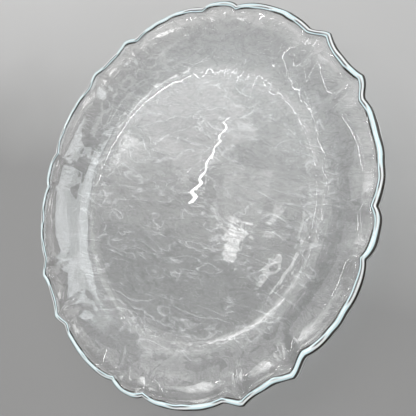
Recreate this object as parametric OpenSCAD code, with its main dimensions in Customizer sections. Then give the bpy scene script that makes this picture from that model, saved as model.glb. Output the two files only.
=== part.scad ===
// Round charger plate in clear pressed glass, lying face up on a table.
// All sizes are millimetres and degrees. The origin is the middle of the base, on the table, and Z points up.
// The short lobes of the scalloped edge lie on the X and Y axes, and the hollow tabs half way between them.
// The plate is one pressed piece, so it is one node.

/* [Plate] */
// Diameter across the crowns of the lobes
plate_d = 330; // [300:1:380]
// Height from the table to the top of the lip
plate_h = 27; // [22:0.5:31]
// Thickness of the glass in the well and the rim
glass_t = 5; // [3.5:0.1:6.5]
// Thickness of the rounded lip
lip_t = 5.2; // [4.2:0.1:7]

/* [Well and rim] */
// Diameter of the flat floor of the well, and of the flat base under it
floor_d = 214; // [180:1:230]
// Diameter of the ring where the cove turns over into the rim
turn_d = 266; // [250:1:280]
// Slope of the wall at that ring, where it is steepest
wall_a = 38; // [30:1:48]

/* [Scalloped edge] */
// Number of hollow tabs, with a short lobe between each two
tabs = 4; // [3:1:5]
// Angle from the middle of a short lobe to the notch beside it
short_a = 6.1; // [4:0.1:9]
// Depth of that notch below the crowns
notch_depth = 3.7; // [1:0.1:5]
// Angle from the middle of a tab to its corner
tab_a = 7.3; // [5:0.1:10]
// How far the tab's corners stand out past the crowns
corner_out = 2.7; // [1:0.1:5]
// How far the middle of the tab lies inside the crowns
tab_hollow = 1.4; // [0:0.1:4]
// Angle from a tab's corner to the dip beside it
shoulder_a = 5.7; // [3:0.1:7]
// Depth of that dip below the crowns
dip_depth = 2.7; // [1:0.1:5]
// How square the short lobes are, from round at 2 to nearly flat
short_power = 3; // [2:0.1:5]
// How square the long lobes are
long_power = 3.4; // [2:0.1:5]
// How square the tabs' hollows are
tab_power = 2.4; // [2:0.1:5]

/* [Flutes] */
// Diameter of the ring that the rounded inner ends of the flutes touch
flute_d = 262; // [250:1:272]
// How much farther out the flutes start at their sides than in their middles
flute_swing = 12; // [6:0.5:14]
// Width of the band in which the flutes reach their full depth
flute_run = 18; // [12:1:20]
// How square the inner ends of the short lobes' and the tabs' flutes are
end_power = 2.5; // [2:0.1:5]
// How square the inner ends of the long lobes' flutes are
long_end_power = 6; // [3:0.5:8]

/* [Hidden] */

// Steps of the loft along each stretch of half a repeat, and along each stretch of the profile
short_steps = 4;
long_steps = 7;
shoulder_steps = 3;
tab_steps = 4;
cove_steps = 5;
rim_steps = 7;
blend_steps = 2;
bead_steps = 6;

// The edge repeats once for each tab, and each repeat is a mirrored pair of halves
repeat_a = 360 / tabs;
half_a = repeat_a / 2;
corner_a = half_a - tab_a;
dip_a = corner_a - shoulder_a;
long_mid_a = (short_a + dip_a) / 2;
long_half_a = (dip_a - short_a) / 2;
long_flute_mid_a = (short_a + corner_a) / 2;
long_flute_half_a = (corner_a - short_a) / 2;

// Radius of the floor, and the level of the middle of its glass
floor_r = floor_d / 2;
mid_z = glass_t / 2;

// The middle line of the glass leaves the floor level, bends up along the cove to the wall's steepest ring,
// and bends back along the rim to the centre of the lip, both as arcs that meet at a tangent
lip_r = lip_t / 2;
lip_x = plate_d / 2 - lip_r;
lip_z = plate_h - lip_r;
turn_r = turn_d / 2;
cove_r = (turn_r - floor_r) / sin(wall_a);
turn_z = mid_z + cove_r * (1 - cos(wall_a));
lip_a = 2 * atan2(lip_z - turn_z, lip_x - turn_r) - wall_a;
rim_r = (lip_x - turn_r) / (sin(wall_a) - sin(lip_a));
rim_len = rim_r * (wall_a - lip_a) * PI / 180;
blend_len = lip_t;
plain_len = rim_len - blend_len;

// A rise from 0 to 1 that starts and ends level
function ease(u) = let (c = max(0, min(1, u))) c * c * (3 - 2 * c);

// The angle to the nearest short lobe's middle, by the edge's symmetry
function folded(a) = let (m = a - repeat_a * floor(a / repeat_a)) min(m, repeat_a - m);

// How far the edge lies outside the crowns' circle, along each stretch of half a repeat
function short_shift(f) = -notch_depth * pow(f / short_a, short_power);
function long_shift(f) = let (u = (f - long_mid_a) / long_half_a)
    -(u < 0 ? notch_depth : dip_depth) * pow(abs(u), long_power);
function shoulder_shift(f) = -dip_depth + (dip_depth + corner_out) * ease((f - dip_a) / shoulder_a);
function tab_shift(f) = -tab_hollow + (tab_hollow + corner_out) * pow((half_a - f) / tab_a, tab_power);
function edge_shift(a) = let (f = folded(a))
    f < short_a ? short_shift(f) :
    f < dip_a ? long_shift(f) :
    f < corner_a ? shoulder_shift(f) : tab_shift(f);

// How far out a flute starts, as a share of its swing, along each stretch of half a repeat
function flute_end(a) = let (f = folded(a))
    f < short_a ? pow(f / short_a, end_power) :
    f < corner_a ? pow(abs(f - long_flute_mid_a) / long_flute_half_a, long_end_power) :
    pow((half_a - f) / tab_a, end_power);

// How much of the edge's shape reaches in to a radius of the middle line
function flute_share(x, a) = ease((x - flute_d / 2 - flute_swing * flute_end(a)) / flute_run);

// Angles of the loft's sections, with one on every notch, dip, corner and middle
half_angles = concat(
    [for (i = [0 : short_steps - 1]) short_a * i / short_steps],
    [for (i = [0 : long_steps - 1]) short_a + (dip_a - short_a) * i / long_steps],
    [for (i = [0 : shoulder_steps - 1]) dip_a + shoulder_a * i / shoulder_steps],
    [for (i = [0 : tab_steps]) corner_a + tab_a * i / tab_steps]
);
half_count = len(half_angles) - 1;
angles = [
    for (q = [0 : tabs - 1])
    for (i = [0 : 2 * half_count - 1])
    q * repeat_a + (i <= half_count ? half_angles[i] : repeat_a - half_angles[2 * half_count - i])
];

// A point of the glass beside its middle line, as a radius, a height and the middle line's radius
// Side is 1 on top and -1 underneath
function beside(mid, slope, half_t, side) = [
    mid[0] - side * half_t * sin(slope),
    mid[1] + side * half_t * cos(slope),
    mid[0]
];
function cove_point(slope, side) =
    beside([floor_r + cove_r * sin(slope), mid_z + cove_r * (1 - cos(slope))], slope, glass_t / 2, side);

// A point at a length along the rim, where the glass swells into the lip near the end
function rim_slope(s) = wall_a + (lip_a - wall_a) * s / rim_len;
function rim_half_t(s) = glass_t / 2 + (lip_r - glass_t / 2) * ease((s - plain_len) / blend_len);
function rim_point(s, side) = let (a = rim_slope(s))
    beside([turn_r + rim_r * (sin(wall_a) - sin(a)), turn_z + rim_r * (cos(a) - cos(wall_a))],
        a, rim_half_t(s), side);

// A point of the lip's rounded edge, from 90 on top to -90 underneath
function bead_point(b) = [
    lip_x + lip_r * cos(lip_a + b),
    lip_z + lip_r * sin(lip_a + b),
    lip_x
];

// Lengths along the rim where the loft has a ring of points
rim_stops = concat(
    [for (i = [1 : rim_steps]) plain_len * i / rim_steps],
    [for (i = [1 : blend_steps]) plain_len + blend_len * i / blend_steps]
);

// The profile from the floor's edge, up the cove and the rim, round the lip and back underneath
profile = concat(
    [for (i = [0 : cove_steps]) cove_point(wall_a * i / cove_steps, 1)],
    [for (s = rim_stops) rim_point(s, 1)],
    [for (i = [1 : bead_steps - 1]) bead_point(90 - 180 * i / bead_steps)],
    [for (i = [len(rim_stops) - 1 : -1 : 0]) rim_point(rim_stops[i], -1)],
    [for (i = [cove_steps : -1 : 0]) cove_point(wall_a * i / cove_steps, -1)]
);

// The fluted shell of the plate, lofted round the profile
module fluted_shell() {
    n = len(angles);
    rings = len(profile);
    points = [
        for (p = profile)
        for (a = angles)
        let (r = p[0] + flute_share(p[2], a) * edge_shift(a))
        [r * cos(a), r * sin(a), p[1]]
    ];
    floor_face = [for (i = [n - 1 : -1 : 0]) i];
    base_face = [for (i = [0 : n - 1]) (rings - 1) * n + i];
    bands = [
        for (k = [0 : rings - 2])
        for (i = [0 : n - 1])
        let (j = (i + 1) % n)
        for (t = [
            [k * n + i, k * n + j, (k + 1) * n + j],
            [k * n + i, (k + 1) * n + j, (k + 1) * n + i]
        ]) t
    ];
    polyhedron(points = points, faces = concat([floor_face, base_face], bands), convexity = 6);
}

module plate() {
    color([0.80, 0.91, 0.93, 0.55])
    fluted_shell();
}

plate();
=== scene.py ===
"""A clear pressed-glass charger plate lying on a pale studio floor.

Metres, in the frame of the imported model: the plate lies face up, its flat base on the floor, +Z up.
"""

import math
from collections import namedtuple

import bpy
import numpy as np
from mathutils import Matrix, Vector, noise


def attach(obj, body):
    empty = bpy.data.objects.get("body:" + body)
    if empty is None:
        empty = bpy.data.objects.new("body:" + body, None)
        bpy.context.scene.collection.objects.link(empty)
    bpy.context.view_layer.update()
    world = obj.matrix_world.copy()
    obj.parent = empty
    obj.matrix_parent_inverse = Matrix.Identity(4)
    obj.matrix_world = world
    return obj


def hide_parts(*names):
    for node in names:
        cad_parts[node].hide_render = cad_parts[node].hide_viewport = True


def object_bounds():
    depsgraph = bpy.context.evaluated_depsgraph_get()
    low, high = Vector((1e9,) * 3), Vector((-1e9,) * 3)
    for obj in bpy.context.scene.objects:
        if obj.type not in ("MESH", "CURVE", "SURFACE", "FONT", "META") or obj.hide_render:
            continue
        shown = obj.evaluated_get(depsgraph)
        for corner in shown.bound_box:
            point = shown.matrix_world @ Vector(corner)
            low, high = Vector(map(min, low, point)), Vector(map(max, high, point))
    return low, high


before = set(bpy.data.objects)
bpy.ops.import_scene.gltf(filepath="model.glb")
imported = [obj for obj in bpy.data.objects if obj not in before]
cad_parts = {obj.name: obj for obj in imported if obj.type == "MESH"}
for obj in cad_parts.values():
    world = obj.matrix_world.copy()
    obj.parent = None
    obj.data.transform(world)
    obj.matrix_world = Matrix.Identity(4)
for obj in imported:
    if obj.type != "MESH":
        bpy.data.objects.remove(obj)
cad_low, cad_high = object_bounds()
MM = 0.001

# Sizes of the plate, the same as in the solid model
PLATE_R = (cad_high.x - cad_low.x) / 2
PLATE_H = cad_high.z
GLASS_T = 5.0 * MM
LIP_R = 2.6 * MM
FLOOR_R = 107.0 * MM
TURN_R = 133.0 * MM
WALL_A = math.radians(38)

# The scalloped edge: angles in degrees, depths in metres, and powers for how square its lobes are
TABS = 4
SHORT_A = 6.1
NOTCH_DEPTH = 3.7 * MM
TAB_A = 7.3
CORNER_OUT = 2.7 * MM
TAB_HOLLOW = 1.4 * MM
SHOULDER_A = 5.7
DIP_DEPTH = 2.7 * MM
SHORT_POWER = 3.0
LONG_POWER = 3.4
TAB_POWER = 2.4

# The rim's panels: where their inner ends lie, how square these are, and the run of the flutes
PANEL_R = 131.0 * MM
PANEL_SWING = 12.0 * MM
END_POWER = 2.5
LONG_END_POWER = 6
FLUTE_RUN = 18.0 * MM

# The edge repeats once for each tab, and each repeat is a mirrored pair of halves
REPEAT_A = 360 / TABS
HALF_A = REPEAT_A / 2
CORNER_A = HALF_A - TAB_A
DIP_A = CORNER_A - SHOULDER_A
LONG_MID_A = (SHORT_A + DIP_A) / 2
LONG_HALF_A = (DIP_A - SHORT_A) / 2
PANEL_MID_A = (SHORT_A + CORNER_A) / 2
PANEL_HALF_A = (CORNER_A - SHORT_A) / 2

# The middle line of the glass: level floor, cove, steepest ring, rim, centre of the lip
MID_Z = GLASS_T / 2
LIP_X = PLATE_R - LIP_R
LIP_Z = PLATE_H - LIP_R
COVE_R = (TURN_R - FLOOR_R) / math.sin(WALL_A)
TURN_Z = MID_Z + COVE_R * (1 - math.cos(WALL_A))
LIP_A = 2 * math.atan2(LIP_Z - TURN_Z, LIP_X - TURN_R) - WALL_A
RIM_R = (LIP_X - TURN_R) / (math.sin(WALL_A) - math.sin(LIP_A))
RIM_LEN = RIM_R * (WALL_A - LIP_A)
BLEND_LEN = 2 * LIP_R

# The crease along the inner ends of the panels: its depth, its reach outwards and its rounding
CREASE_H = 0.7 * MM
CREASE_REACH = 6.0 * MM
CREASE_ROUND = 0.5 * MM

# The short cone where the cove turns over into the rim: its depth and half its width
CONE_H = 0.33 * MM
CONE_HALF = 4.0 * MM

# Half the width of the band in which the cove's bend sets in
COVE_BLEND = 10.0 * MM

# Folds round the start of the cove: their size, the slope from which they get less, and where they set in
FOLD_WIDTH = 9.0 * MM
FOLD_LENGTH = 20.0 * MM
FOLD_SWING = 4.0 * MM
FOLD_SLOPE = 0.035
FOLD_START = FLOOR_R - 18.0 * MM
FOLD_RUN = 12.0 * MM

# Folds come in groups: the size of a group, the least swing outside the groups and the gain within them
GROUP_SIZE = 60.0 * MM
GROUP_LEAST = 0.5
GROUP_GAIN = 1.4
GROUP_SEED = 18.72

# Ripples: their height, the turn of a stroke in degrees, its length and width, and a seed
Ripple = namedtuple("Ripple", "height turn along across seed")
SWELLS = Ripple(0.02 * MM, 0, 22 * MM, 22 * MM, 2.0)
DRAWN = Ripple(0.06 * MM, 8, 30 * MM, 8 * MM, 5.7)
KINKS = Ripple(0.025 * MM, 0, 13 * MM, 11 * MM, 41.9)
WAVES = Ripple(0.34 * MM, 0, 10 * MM, 10 * MM, 53.3)
CELLS = Ripple(0.025 * MM, 25, 12 * MM, 7 * MM, 17.3)
UNDER = (Ripple(0.05 * MM, 20, 9 * MM, 4.5 * MM, 23.7), Ripple(0.05 * MM, -55, 8 * MM, 4 * MM, 31.1))

# Radii where the ripples start and end, the runs in which they do, and what is left of those drawn out
DRAWN_END = FLOOR_R - 16 * MM
DRAWN_RUN = 12 * MM
DRAWN_LEFT = 0.2
KINKS_START = FLOOR_R + 5 * MM
KINKS_END = TURN_R - 3 * MM
WAVES_START = TURN_R - 19 * MM
WAVES_END = TURN_R + 2 * MM
COVE_RUN = 8 * MM
CELLS_START = TURN_R + 5 * MM
CELLS_RUN = 14 * MM

# Fineness of the mesh: the side of a triangle and the points round the rim, above and underneath
TOP_STEP = 1.2 * MM
UNDER_STEP = 2.4 * MM
TOP_POINTS = 840
UNDER_POINTS = 480
BEAD_STEPS = 12

# Rings of the floor, and those up to a few steps past it, have whole multiples of a number of points
COUNT_UNIT = 8
FLOOR_MARGIN_STEPS = 4

# Bend between two triangles from which their border is sharp
SHARP_A = math.radians(32)

# Width of the strip on each side of the edge in which a place across the lip is known
LIP_SPAN = 12.0 * MM

# Half the width of the band round the steepest ring in which the rim's painted shade and painted highlight
# specks set in
RIM_HALF = 8.0 * MM

# Strokes of noise in the glass, for its painted shade, painted glints and painted highlight specks, its
# roughness, its bumps and the lip's bands: their turn in degrees, length and width, their detail and their
# swirl
Stroke = namedtuple("Stroke", "turn along across detail swirl")
CLOUDS = Stroke(30, 24 * MM, 14 * MM, 2.5, 2.0)
DARK_STROKES = Stroke(60, 16 * MM, 7 * MM, 2.0, 1.4)
GLINT_STROKES = Stroke(-70, 44 * MM, 16 * MM, 2.0, 1.0)
FINE_GRAIN = Stroke(15, 7 * MM, 3.5 * MM, 2.0, 1.5)
LIP_PATCHES = Stroke(0, 14 * MM, 14 * MM, 0.0, 0.0)
LIP_BREAKS = Stroke(40, 26 * MM, 20 * MM, 0.0, 0.0)

# The lip's bands of painted highlight and painted shade: how far they are pushed up and down, as a share
# of the strips on both sides of the edge, and the width of the soft borders of the whole set, in
# millimetres, underneath and on top
LIP_PUSH = 0.10
LIP_FADE_UNDER = 0.4
LIP_FADE_TOP = 0.5

# The glass: how it bends light, its cast where it is thick, its shadow's tint and the depth of its bumps
GLASS_IOR = 1.5
GLASS_CAST = (0.87, 0.95, 0.97, 1)
CAST_DENSITY = 4.0
SHADOW_TINT = (0.90, 0.91, 0.915, 1)
BUMP_DEPTH = 0.16 * MM

# The floor: half its width, and the gap under the plate
FLOOR_HALF = 6.0
FLOOR_GAP = 0.3 * MM

# The floor's painted shade, a grading in place of a falloff of light: where it leaves its dark grey and
# reaches its light grey, and its lean with X
FLOOR_SHADE_DARK_Y = 0.02
FLOOR_SHADE_LIGHT_Y = 0.32
FLOOR_SHADE_LEAN = 0.25

# The floor's mottle: its scale, and how far it pushes the grading
MOTTLE_SCALE = 9.0
MOTTLE_DEPTH = 0.04

# The height of most lamps, the angle of a lamp without a grid, and the lamps' colours
LAMP_Z = 1.2
NO_GRID = 90
PLAIN = (1, 1, 1)
ROSE = (1.0, 0.96, 0.98)
WARM = (1.0, 0.98, 0.97)
COOL = (0.93, 0.98, 1.0)

# The studio's walls: where their light comes from, how uneven they are, their dark level and strength
WALL_LIGHT = (0.0, 0.75, 0.45)
WALL_SCALE = 3.5
WALL_DETAIL = 2
WALL_UNEVEN = 0.4
WALL_DARK = 0.2
WALL_STRENGTH = 0.63

# Where the camera stands, what it looks at and how it is turned, and its lens in millimetres
CAMERA_AT = Vector((0.2401, -0.0219, 0.3012 + LIP_Z))
CAMERA_AIM = Vector((0.0345, -0.0055, LIP_Z))
CAMERA_ROLL = math.radians(13.5)
CAMERA_LENS = 40.84
CAMERA_SENSOR = 36


def ease(u):
    """A rise from 0 to 1 that starts and ends level."""
    c = np.clip(u, 0, 1)
    return c * c * (3 - 2 * c)


def rise(radius, start, run):
    """A rise from 0 to 1 over a run that starts at a radius."""
    return float(ease((radius - start) / run))


def fall(radius, end, run):
    """A fall from 1 to 0 over a run that ends at a radius."""
    return float(ease((end - radius) / run))


def folded(angle):
    """Angles to the nearest short lobe's middle, by the edge's symmetry, from an array in degrees."""
    turn = np.mod(angle, REPEAT_A)
    return np.minimum(turn, REPEAT_A - turn)


def edge_shift(angle):
    """How far the scalloped edge lies outside the crowns' circle, at an array of angles in degrees."""
    f = folded(angle)
    across = (f - LONG_MID_A) / LONG_HALF_A
    short = -NOTCH_DEPTH * (f / SHORT_A) ** SHORT_POWER
    long = -np.where(across < 0, NOTCH_DEPTH, DIP_DEPTH) * np.abs(across) ** LONG_POWER
    shoulder = -DIP_DEPTH + (DIP_DEPTH + CORNER_OUT) * ease((f - DIP_A) / SHOULDER_A)
    tab = -TAB_HOLLOW + (TAB_HOLLOW + CORNER_OUT) * np.abs((HALF_A - f) / TAB_A) ** TAB_POWER
    return np.select([f < SHORT_A, f < DIP_A, f < CORNER_A], [short, long, shoulder], tab)


def panel_end(angle):
    """Radius of the rounded inner end of the rim's panels, at an array of angles in degrees."""
    f = folded(angle)
    short = (f / SHORT_A) ** END_POWER
    long = np.abs((f - PANEL_MID_A) / PANEL_HALF_A) ** LONG_END_POWER
    tab = np.abs((HALF_A - f) / TAB_A) ** END_POWER
    return PANEL_R + PANEL_SWING * np.select([f < SHORT_A, f < CORNER_A], [short, long], tab)


def flute_share(radius, angle):
    """How much of the edge's shape reaches in to a radius of the middle line."""
    return ease((radius - panel_end(angle)) / FLUTE_RUN)


def panel_relief(radius, angle):
    """Depth of the panels below the plain rim: a crease at their inner ends, then a slope that fades."""
    d = radius - panel_end(angle)
    outside = (d + np.sqrt(d * d + CREASE_ROUND ** 2)) / 2
    return -CREASE_H * (1 - np.exp(-outside / CREASE_REACH))


def turn_relief(radius):
    """A short cone in place of the steepest ring."""
    return -CONE_H * rise(radius, TURN_R - CONE_HALF, 2 * CONE_HALF)


def cove_blend(radius):
    """A soft start of the cove: its bend grows evenly over a band on both sides of the floor's edge.

    The lift that this gives is shared: the floor sinks by half of it, and the wall rises by half.
    """
    d = min(max(radius - FLOOR_R, -COVE_BLEND), COVE_BLEND)
    lift = (d + COVE_BLEND) ** 3 if d < 0 else (d - COVE_BLEND) ** 3 + 2 * COVE_BLEND ** 3
    return lift / (12 * COVE_BLEND * COVE_R) - COVE_BLEND ** 2 / (12 * COVE_R)


# A ring of the profile: radius, height, the middle line's radius and slope, side (1 on top and -1 below),
# weight of the ripples, and arc from the outermost line
Ring = namedtuple("Ring", "x z mid slope side ripple arc")


def station(mid_x, mid_z, slope, half_t, side, weight=1.0, arc=LIP_SPAN):
    """A ring beside the middle line."""
    x = mid_x - side * half_t * math.sin(slope)
    z = mid_z + side * half_t * math.cos(slope)
    return Ring(x, z, mid_x, slope, side, weight, side * arc)


def mesh_step(side):
    """Side of a triangle on the upper face or the underside."""
    return TOP_STEP if side > 0 else UNDER_STEP


def floor_stations(side):
    """The flat floor, from just off the middle to its edge."""
    count = round(FLOOR_R / mesh_step(side))
    radii = [FLOOR_R * (i + 1) / count for i in range(count)]
    return [station(r, MID_Z, 0.0, GLASS_T / 2, side) for r in radii]


def cove_stations(side):
    """The cove, from the floor's edge to the steepest ring."""
    count = round(COVE_R * WALL_A / mesh_step(side))
    made = []
    for i in range(count):
        a = WALL_A * (i + 1) / count
        mid_x = FLOOR_R + COVE_R * math.sin(a)
        mid_z = MID_Z + COVE_R * (1 - math.cos(a))
        made.append(station(mid_x, mid_z, a, GLASS_T / 2, side))
    return made


def rim_stations(side):
    """The rim, from the steepest ring to the lip, where the glass swells."""
    count = round(RIM_LEN / mesh_step(side))
    made = []
    for i in range(count):
        s = RIM_LEN * (i + 1) / count
        a = WALL_A + (LIP_A - WALL_A) * s / RIM_LEN
        swell = float(ease((s - RIM_LEN + BLEND_LEN) / BLEND_LEN))
        mid_x = TURN_R + RIM_R * (math.sin(WALL_A) - math.sin(a))
        mid_z = TURN_Z + RIM_R * (math.cos(a) - math.cos(WALL_A))
        half_t = GLASS_T / 2 + (LIP_R - GLASS_T / 2) * swell
        arc = min(LIP_SPAN, math.pi / 2 * LIP_R + RIM_LEN - s)
        made.append(station(mid_x, mid_z, a, half_t, side, 1 - swell, arc))
    return made


def bead_stations():
    """The rounded lip, from its top to its underside, where there are no ripples."""
    made = []
    for i in range(1, BEAD_STEPS):
        b = math.pi / 2 - math.pi * i / BEAD_STEPS
        x = LIP_X + LIP_R * math.cos(b + LIP_A)
        z = LIP_Z + LIP_R * math.sin(b + LIP_A)
        made.append(Ring(x, z, LIP_X, LIP_A, 1, 0.0, b * LIP_R))
    return made


def profile_rings():
    """All rings from the middle of the well, over the lip and back to the middle of the underside."""
    top = floor_stations(1) + cove_stations(1) + rim_stations(1)
    under = floor_stations(-1) + cove_stations(-1) + rim_stations(-1)
    return top + bead_stations() + under[::-1]


def fold_shift(radius, angles):
    """How far the start of the cove swings in and out in folds; less where the cove is already steep."""
    band = rise(radius, FOLD_START, FOLD_RUN) * fall(radius, TURN_R, FOLD_RUN)
    d = max(radius - FLOOR_R + COVE_BLEND, 0.0)
    slope = d * d / (4 * COVE_BLEND * COVE_R)
    reach = FOLD_SWING * band * FOLD_SLOPE / max(slope, FOLD_SLOPE)
    turns = np.radians(angles)
    places = np.stack([FLOOR_R * np.cos(turns), FLOOR_R * np.sin(turns)], axis=1)
    folds = [noise.noise(Vector((*(q / FOLD_WIDTH), radius / FOLD_LENGTH))) for q in places]
    grouped = [noise.noise(Vector((*(q / GROUP_SIZE), GROUP_SEED))) for q in places]
    return reach * np.array(folds) * (GROUP_LEAST + np.maximum(0.0, GROUP_GAIN * np.array(grouped)))


def ripple(kind, x, y):
    """Height of one set of ripples at a place: noise stretched into strokes."""
    c = math.cos(math.radians(kind.turn))
    d = math.sin(math.radians(kind.turn))
    stretched = Vector(((c * x + d * y) / kind.along, (c * y - d * x) / kind.across, kind.seed))
    return kind.height * noise.noise(stretched)


def top_ripple(x, y):
    """Ripples of the upper face: drawn out in the well, kinks and waves in the cove, cells on the rim."""
    radius = math.hypot(x, y)
    well = 1 - (1 - DRAWN_LEFT) * rise(radius, DRAWN_END, DRAWN_RUN)
    cove = rise(radius, KINKS_START, COVE_RUN) * fall(radius, KINKS_END, COVE_RUN)
    wall = rise(radius, WAVES_START, COVE_RUN) * fall(radius, WAVES_END, COVE_RUN)
    rim = rise(radius, CELLS_START, CELLS_RUN)
    fine = ripple(SWELLS, x, y) + well * ripple(DRAWN, x, y) + rim * ripple(CELLS, x, y)
    return fine + cove * ripple(KINKS, x, y) + wall * ripple(WAVES, x, y)


def under_ripple(x, y):
    """The rougher pressed ripples of the underside."""
    return sum(ripple(kind, x, y) for kind in UNDER)


def ring_points(ring):
    """Number of points round a ring: fixed on the rim, fewer towards the middle."""
    step = mesh_step(ring.side)
    if ring.x > FLOOR_R + FLOOR_MARGIN_STEPS * step:
        return TOP_POINTS if ring.side > 0 else UNDER_POINTS
    return COUNT_UNIT * max(1, round(2 * math.pi * ring.x / (COUNT_UNIT * step)))


def ring_places(ring, angles):
    """Places of the points round a ring, with flutes, folds, relief and ripples, none below the floor."""
    on_top = ring.side > 0
    radius = ring.x + flute_share(ring.mid, angles) * edge_shift(angles)
    if on_top:
        radius = radius + fold_shift(ring.x, angles)
    xs = radius * np.cos(np.radians(angles))
    ys = radius * np.sin(np.radians(angles))
    relief = panel_relief(ring.mid, angles) + turn_relief(ring.mid) + cove_blend(ring.x)
    places = []
    for x, y, depth in zip(xs, ys, relief):
        height = ring.ripple * (depth + top_ripple(x, y) if on_top else under_ripple(x, y))
        pull = 1 - height * math.sin(ring.slope) / math.hypot(x, y)
        level = max(0.0, ring.z + height * math.cos(ring.slope))
        places.append((x * pull, y * pull, level))
    return places


def zip_rings(first, first_count, second, second_count):
    """Triangles between two rings of points, given each ring's first index and count."""
    i = 0
    j = 0
    faces = []
    while i < first_count or j < second_count:
        a = first + i % first_count
        b = second + j % second_count
        if j >= second_count or (i < first_count and (i + 1) * second_count <= (j + 1) * first_count):
            faces.append((a, b, first + (i + 1) % first_count))
            i += 1
        else:
            faces.append((a, b, second + (j + 1) % second_count))
            j += 1
    return faces


def fan(middle, start, count):
    """Triangles between a middle point and the ring round it."""
    return [(middle, start + i, start + (i + 1) % count) for i in range(count)]


def across_lip(arc):
    """The stored value of a place across the lip, from its arc above the outermost line."""
    return 0.5 + arc / LIP_SPAN / 2


def store(mesh, name, values):
    """Keeps one number for each point of a mesh, for its material."""
    mesh.attributes.new(name, "FLOAT", "POINT").data.foreach_set("value", np.array(values, np.float32))


def plate_mesh():
    """The whole plate as one closed mesh.

    Four numbers are stored on each point: its place across the lip, and how far it belongs to the
    underside, to the rim and to the crown of a lobe.
    """
    points = [(0.0, 0.0, GLASS_T)]
    numbers = [(across_lip(LIP_SPAN), 0.0, 0.0, 0.0)]
    starts = []
    counts = []
    for ring in profile_rings():
        count = ring_points(ring)
        angles = np.arange(count) * 360 / count
        starts.append(len(points))
        counts.append(count)
        points += ring_places(ring, angles)
        lip = across_lip(ring.arc)
        under = 0.0 if ring.side > 0 else 1.0
        rim = rise(ring.mid, TURN_R - RIM_HALF, 2 * RIM_HALF)
        crowns = ease(1 + edge_shift(angles) / NOTCH_DEPTH)
        numbers += [(lip, under, rim, crown) for crown in crowns]
    base = len(points)
    points.append((0.0, 0.0, 0.0))
    numbers.append((across_lip(-LIP_SPAN), 1.0, 0.0, 0.0))
    faces = fan(0, starts[0], counts[0])
    for k in range(len(starts) - 1):
        faces += zip_rings(starts[k], counts[k], starts[k + 1], counts[k + 1])
    faces += [(middle, b, a) for middle, a, b in fan(base, starts[-1], counts[-1])]
    mesh = bpy.data.meshes.new("glass_plate")
    mesh.from_pydata(points, [], faces)
    for name, values in zip(("lip", "under", "rim", "crown"), zip(*numbers)):
        store(mesh, name, values)
    mesh.validate()
    mesh.shade_smooth()
    mesh.set_sharp_from_angle(angle=SHARP_A)
    return mesh


def grey(level):
    """A colour without a cast."""
    return (level, level, level, 1)


CLEAR = grey(1.0)
BLACK = grey(0.0)


def new_material(name):
    """An empty node material and its node tree."""
    material = bpy.data.materials.new(name)
    material.use_nodes = True
    material.node_tree.nodes.clear()
    return material, material.node_tree


def feed(tree, socket, source):
    """Joins a socket to another node's output, or sets it to a plain value."""
    if isinstance(source, bpy.types.NodeSocket):
        tree.links.new(source, socket)
    else:
        socket.default_value = source


def add_node(tree, kind, inputs):
    """A new node, with the inputs that are given by name or by number."""
    node = tree.nodes.new(kind)
    for key, source in inputs.items():
        feed(tree, node.inputs[key], source)
    return node


def calc(tree, operation, *sources):
    """A sum with the values of other nodes and plain numbers."""
    node = add_node(tree, "ShaderNodeMath", dict(enumerate(sources)))
    node.operation = operation
    return node.outputs["Value"]


def object_place(tree):
    """Places in the object's own frame."""
    return tree.nodes.new("ShaderNodeTexCoord").outputs["Object"]


def stroke_noise(tree, place, kind):
    """Noise drawn out into short swirling strokes."""
    stretched = add_node(tree, "ShaderNodeMapping", {
        "Vector": place,
        "Rotation": (0, 0, math.radians(kind.turn)),
        "Scale": (1 / kind.along, 1 / kind.across, 1 / kind.along)})
    drawn = add_node(tree, "ShaderNodeTexNoise", {
        "Vector": stretched.outputs["Vector"],
        "Scale": 1.0,
        "Detail": kind.detail,
        "Distortion": kind.swirl})
    return drawn.outputs["Fac"]


def ramp(tree, source, stops):
    """A colour ramp through (position, colour) stops."""
    node = add_node(tree, "ShaderNodeValToRGB", {"Fac": source})
    elements = node.color_ramp.elements
    while len(elements) < len(stops):
        elements.new(0.5)
    for element, (position, colour) in zip(elements, stops):
        element.position = position
        element.color = colour
    return node.outputs["Color"]


def mix(tree, kind, first, second, share=1.0):
    """Two colours put together, all over or by a share."""
    node = add_node(tree, "ShaderNodeMixRGB", {"Fac": share, "Color1": first, "Color2": second})
    node.blend_type = kind
    return node.outputs["Color"]


def stored(tree, name):
    """A number that was stored on each point of the mesh."""
    node = tree.nodes.new("ShaderNodeAttribute")
    node.attribute_name = name
    return node.outputs["Fac"]


def stroke_bumps_and_shade(tree, place, clouds):
    """Painted shade in the glass's colour: faint darker clouds and dark strokes, in place of the darker
    reflections of its ripples.
    """
    shade_clouds = ramp(tree, clouds, [(0.38, grey(0.91)), (0.60, CLEAR)])
    lines = stroke_noise(tree, place, DARK_STROKES)
    strokes = ramp(tree, lines, [(0.44, CLEAR), (0.49, grey(0.77)), (0.54, CLEAR)])
    return mix(tree, "MULTIPLY", shade_clouds, strokes)


def clear_share(tree, place, clouds, grain, rim):
    """How clear the glass is: less clear in pale strokes, painted glints that come in patches in the well,
    and in fine specks on the rim, a painted highlight in place of the broken reflections of its ripples.
    """
    lines = stroke_noise(tree, place, GLINT_STROKES)
    strokes = ramp(tree, lines, [(0.46, CLEAR), (0.495, grey(0.82)), (0.53, CLEAR)])
    patches = ramp(tree, clouds, [(0.40, grey(0.2)), (0.58, CLEAR)])
    well = mix(tree, "MIX", CLEAR, strokes, patches)
    rim_highlight_specks = ramp(tree, grain, [(0.56, CLEAR), (0.70, grey(0.92))])
    return mix(tree, "MIX", well, rim_highlight_specks, rim)


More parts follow.
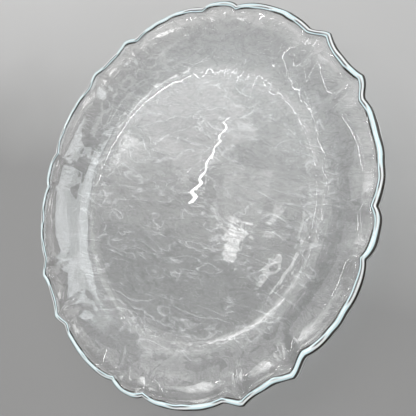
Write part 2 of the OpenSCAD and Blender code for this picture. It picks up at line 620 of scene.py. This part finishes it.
def uneven_lip(tree, place):
    """The place across the lip, pushed up and down along the rim."""
    push = calc(tree, "MULTIPLY_ADD", stroke_noise(tree, place, LIP_PATCHES), LIP_PUSH, -LIP_PUSH / 2)
    return calc(tree, "ADD", stored(tree, "lip"), push)


def lip_bands(tree, across, outside, bands):
    """Bands across the lip with soft borders, between two stretches of an outside colour.

    Each band is (start, end, colour), in millimetres above the outermost line.
    """
    stops = [(across_lip((bands[0][0] - LIP_FADE_UNDER) * MM), outside)]
    for start, end, colour in bands:
        stops.append((across_lip(start * MM), colour))
        stops.append((across_lip(end * MM), colour))
    stops.append((across_lip((bands[-1][1] + LIP_FADE_TOP) * MM), outside))
    return ramp(tree, across, stops)


def wide_share(tree, place):
    """Where the lip's painted highlight and shade take their wide bands: on the crowns of the lobes, with
    breaks.
    """
    crowns = ramp(tree, stored(tree, "crown"), [(0.0, BLACK), (1.0, grey(0.4))])
    breaks = ramp(tree, stroke_noise(tree, place, LIP_BREAKS), [(0.35, BLACK), (0.65, grey(0.6))])
    return ramp(tree, mix(tree, "ADD", crowns, breaks), [(0.50, BLACK), (0.70, CLEAR)])


def lip_painted_light(tree, place):
    """Painted light on the thick rounded lip: pale bands of painted highlight, in the cyan of the glass's
    edge, dark bands of painted shade, and the share of the glass that they cover.
    """
    # White and pale cyan: painted highlight, the glow that the rounded lip takes from the light round it,
    # in the cyan of the glass's edge
    white = (0.98, 1.0, 1.0, 1)
    pale = (0.78, 0.97, 1.0, 1)
    # Dark, deep, shade and dull grey: painted shade, the dark lines that the rounded lip shows of its
    # darker surroundings
    dark = (0.03, 0.025, 0.02, 1)
    deep = (0.06, 0.055, 0.05, 1)
    shade = grey(0.12)
    dull = grey(0.30)
    across = uneven_lip(tree, place)
    share = wide_share(tree, place)
    wide = lip_bands(tree, across, CLEAR, [
        (-3.8, -1.2, dull), (-0.9, 0.3, white), (0.7, 2.2, deep), (2.5, 3.5, pale),
        (3.7, 4.3, white), (4.5, 5.1, pale), (5.4, 6.5, dark)])
    lines = lip_bands(tree, across, CLEAR, [
        (-3.8, -1.2, dull), (-0.9, 0.4, white), (0.8, 2.3, dark), (2.6, 3.6, white),
        (3.9, 4.6, shade), (4.9, 5.5, pale), (5.7, 6.2, shade)])
    wide_cover = lip_bands(tree, across, BLACK, [(-3.8, 6.5, CLEAR)])
    lines_cover = lip_bands(tree, across, BLACK, [(-3.8, 6.2, CLEAR)])
    bands = mix(tree, "MIX", lines, wide, share)
    cover = mix(tree, "MIX", lines_cover, wide_cover, share)
    return bands, cover


def glass_material():
    """Clear pressed glass with painted light: strokes of painted shade, pale strokes of painted glints, a
    lip banded with painted highlight and shade, a rim painted darker, and a faint cast where it is thick.
    """
    material, tree = new_material("clear_glass")
    place = object_place(tree)
    rim = stored(tree, "rim")
    clouds = stroke_noise(tree, place, CLOUDS)
    grain = stroke_noise(tree, place, FINE_GRAIN)
    # Painted shade: darker clouds and strokes in the glass's colour
    bumps_and_shade = stroke_bumps_and_shade(tree, place, clouds)
    # The lip's bands are painted highlight and painted shade, laid over the glass
    bands, on_lip = lip_painted_light(tree, place)
    # The rim is painted darker: painted shade for the light that its sloped glass turns away
    shaded_colour = mix(tree, "MULTIPLY", bumps_and_shade, ramp(tree, rim, [(0.0, CLEAR), (1.0, grey(0.915))]))
    # Where the painted bands lie the glass lets little through, so they show as a lit surface
    open_share = ramp(tree, on_lip, [(0.0, CLEAR), (1.0, grey(0.2))])
    # Less clear glass shows its lit colour: the pale strokes and rim specks are painted glints and painted
    # highlight
    clearness = mix(tree, "MULTIPLY", open_share, clear_share(tree, place, clouds, grain, rim))
    # The strokes of painted shade also give the height of the underside's bumps
    bump = add_node(tree, "ShaderNodeBump", {
        "Distance": BUMP_DEPTH,
        "Strength": stored(tree, "under"),
        "Height": bumps_and_shade})
    shader = add_node(tree, "ShaderNodeBsdfPrincipled", {
        "IOR": GLASS_IOR,
        "Base Color": mix(tree, "MIX", shaded_colour, bands, on_lip),
        "Transmission Weight": clearness,
        "Roughness": ramp(tree, grain, [(0.4, BLACK), (0.7, grey(0.03))]),
        "Normal": bump.outputs["Normal"]})
    shadow = add_node(tree, "ShaderNodeBsdfTransparent", {"Color": SHADOW_TINT})
    surface = add_node(tree, "ShaderNodeMixShader", {
        "Fac": tree.nodes.new("ShaderNodeLightPath").outputs["Is Shadow Ray"],
        1: shader.outputs["BSDF"],
        2: shadow.outputs["BSDF"]})
    cast = add_node(tree, "ShaderNodeVolumeAbsorption", {"Color": GLASS_CAST, "Density": CAST_DENSITY})
    add_node(tree, "ShaderNodeOutputMaterial", {
        "Surface": surface.outputs["Shader"],
        "Volume": cast.outputs["Volume"]})
    return material


def build_plate():
    """The plate, riding on the frame in place of the plain solid."""
    plate = bpy.data.objects.new("glass_plate", plate_mesh())
    bpy.context.scene.collection.objects.link(plate)
    plate.data.materials.append(glass_material())
    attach(plate, "root")
    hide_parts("plate")


def floor_material():
    """Grey studio paper with painted shade: a grading that is lighter behind the plate, in place of a
    falloff of light, and a faint mottle.
    """
    # The grading's greys are painted shade and painted light, darker towards -Y
    dark = (0.300, 0.295, 0.290, 1)
    middle = (0.49, 0.483, 0.476, 1)
    light = (0.61, 0.601, 0.592, 1)
    material, tree = new_material("floor_with_painted_shade")
    place = object_place(tree)
    axes = add_node(tree, "ShaderNodeSeparateXYZ", {"Vector": place})
    mottle = add_node(tree, "ShaderNodeTexNoise", {"Vector": place, "Scale": MOTTLE_SCALE})
    near = calc(tree, "MAXIMUM", axes.outputs["X"], 0.0)
    leaning = calc(tree, "MULTIPLY_ADD", near, FLOOR_SHADE_LEAN, axes.outputs["Y"])
    mottled = calc(tree, "MULTIPLY_ADD", mottle.outputs["Fac"], MOTTLE_DEPTH, leaning)
    span = add_node(tree, "ShaderNodeMapRange", {
        "Value": mottled,
        "From Min": FLOOR_SHADE_DARK_Y,
        "From Max": FLOOR_SHADE_LIGHT_Y})
    shader = add_node(tree, "ShaderNodeBsdfPrincipled", {
        "Base Color": ramp(tree, span.outputs["Result"], [(0.0, dark), (0.44, middle), (1.0, light)]),
        "Roughness": 0.9,
        "Specular IOR Level": 0.1})
    add_node(tree, "ShaderNodeOutputMaterial", {"Surface": shader.outputs["BSDF"]})
    return material


def build_floor():
    """The plain floor that the plate lies on."""
    mesh = bpy.data.meshes.new("floor")
    signs = ((-1, -1), (1, -1), (1, 1), (-1, 1))
    corners = [(FLOOR_HALF * x, FLOOR_HALF * y, -FLOOR_GAP) for x, y in signs]
    mesh.from_pydata(corners, [], [(0, 1, 2, 3)])
    floor = bpy.data.objects.new("floor", mesh)
    bpy.context.scene.collection.objects.link(floor)
    mesh.materials.append(floor_material())


def area_light(name, place, along, width, length, radiance, colour=PLAIN, aim=(0, 0, 0), grid=NO_GRID):
    """A soft box of a given brightness that faces a place, its length running along a direction.

    A grid in front of it, in degrees, keeps its light within a cone round the place it faces.
    """
    data = bpy.data.lights.new(name, "AREA")
    data.shape = "RECTANGLE"
    data.size = width
    data.size_y = length
    data.energy = radiance * width * length * math.pi
    data.color = colour
    if grid < NO_GRID:
        half = math.radians(grid)
        data.spread = 2 * half
        data.energy *= 1 - half / math.tan(half)
    back = (Vector(place) - Vector(aim)).normalized()
    side = Vector(along).cross(back).normalized()
    turn = Matrix((side, back.cross(side), back)).transposed()
    lamp = bpy.data.objects.new(name, data)
    lamp.matrix_world = Matrix.Translation(place) @ turn.to_4x4()
    bpy.context.scene.collection.objects.link(lamp)


def build_lights():
    """Soft boxes round the plate, with thin strips and small bright lamps among them."""
    # Broad boxes across from the camera
    area_light("panel", (-0.90, 0.40, 1.065), (0.81, 0.59, 0), 0.45, 0.36, 1.15, ROSE)
    area_light("mid_panel", (-0.87, 0.09, LAMP_Z), (0.1, 1, 0), 0.80, 0.38, 0.7, WARM)
    area_light("core_panel", (-0.66, 0.12, LAMP_Z), (0.1, 1, 0), 0.18, 0.26, 0.9)
    area_light("petal_box", (-1.45, 0.90, LAMP_Z), (0.2, 1, 0), 0.45, 0.45, 1.8)
    area_light("wall_box", (-2.3, 0.5, LAMP_Z), (0, 1, 0), 1.2, 0.9, 1.2)
    area_light("low_box", (-1.328, 0.101, LAMP_Z), (0.2, 1, 0), 0.4, 0.42, 8.0,
               aim=(0.077, -0.274, 0.02), grid=9.0)
    # Thin strips
    area_light("strip", (-0.84, 0.254, LAMP_Z), (0.215, 0.977, 0), 0.006, 0.39, 23.0)
    area_light("cove_strip", (-0.855, 0.185, LAMP_Z), (0.215, 0.977, 0), 0.012, 0.23, 60.0,
               aim=(-0.09, 0.10, 0.01), grid=5.0)
    area_light("far_strip", (-2.1, -0.5, LAMP_Z), (0.52, 0.85, 0), 0.02, 1.53, 25.0)
    # Small bright lamps
    area_light("square", (-0.648, -0.01, LAMP_Z), (0.3, 1, 0), 0.085, 0.085, 6.0)
    area_light("square_foot", (-0.65, -0.08, LAMP_Z), (0.3, 1, 0), 0.05, 0.05, 6.0)
    area_light("small", (-0.51, 0.065, LAMP_Z), (0.2, 1, 0), 0.03, 0.10, 3.0)
    area_light("streak", (-0.485, -0.11, LAMP_Z), (0.37, 0.93, 0), 0.02, 0.13, 5.0)
    area_light("low_streak", (-0.75, -0.38, LAMP_Z), (0.9, 0.4, 0), 0.02, 0.12, 4.0)
    # Narrow boxes on the darker side of the floor
    area_light("near_box", (-0.43, -0.56, LAMP_Z), (0.8, -0.6, 0), 0.08, 0.36, 1.6)
    area_light("turn_box", (-0.14, -0.50, LAMP_Z), (0.88, 0.48, 0), 0.08, 0.38, 1.8)
    area_light("side_box", (0.06, -0.3, LAMP_Z), (0.1, 1, 0), 0.05, 0.25, 2.5)
    # Cool broad boxes on its lighter side
    area_light("sky_box", (-0.10, 0.36, 1.35), (0, 1, 0), 0.6, 0.95, 3.8, COOL)
    area_light("sky_low", (-0.48, 0.80, LAMP_Z), (0, 1, 0), 0.55, 0.45, 2.2, COOL,
               aim=(-0.10, -0.11, 0.02), grid=9.0)


def build_world():
    """A studio that is brighter above and on the floor's lighter side, with soft uneven walls."""
    world = bpy.data.worlds.new("studio")
    world.use_nodes = True
    tree = world.node_tree
    place = tree.nodes.new("ShaderNodeTexCoord").outputs["Generated"]
    walls = add_node(tree, "ShaderNodeTexNoise", {
        "Vector": place,
        "Scale": WALL_SCALE,
        "Detail": WALL_DETAIL})
    facing = add_node(tree, "ShaderNodeVectorMath", {0: place, 1: WALL_LIGHT})
    facing.operation = "DOT_PRODUCT"
    uneven = calc(tree, "MULTIPLY_ADD", walls.outputs["Fac"], WALL_UNEVEN, facing.outputs["Value"])
    level = calc(tree, "SUBTRACT", uneven, WALL_DARK)
    background = tree.nodes["Background"]
    feed(tree, background.inputs["Color"], ramp(tree, level, [
        (0.0, (0.25, 0.25, 0.26, 1)), (0.4, grey(0.8)), (0.7, grey(1.8)), (1.0, grey(2.0))]))
    feed(tree, background.inputs["Strength"], WALL_STRENGTH)
    bpy.context.scene.world = world


def build_camera():
    """The camera of the main view, turned about its line of sight."""
    data = bpy.data.cameras.new("camera")
    data.sensor_width = CAMERA_SENSOR
    data.lens = CAMERA_LENS
    camera = bpy.data.objects.new("camera", data)
    forward = (CAMERA_AIM - CAMERA_AT).normalized()
    side = forward.cross(Vector((0, 1, 0))).normalized()
    up = side.cross(forward)
    level = Matrix((side, up, -forward)).transposed()
    turned = level @ Matrix.Rotation(CAMERA_ROLL, 3, "Z")
    camera.matrix_world = Matrix.Translation(CAMERA_AT) @ turned.to_4x4()
    bpy.context.scene.collection.objects.link(camera)
    bpy.context.scene.camera = camera


build_plate()
build_floor()
build_lights()
build_world()
build_camera()
bpy.context.scene.view_settings.view_transform = "Standard"
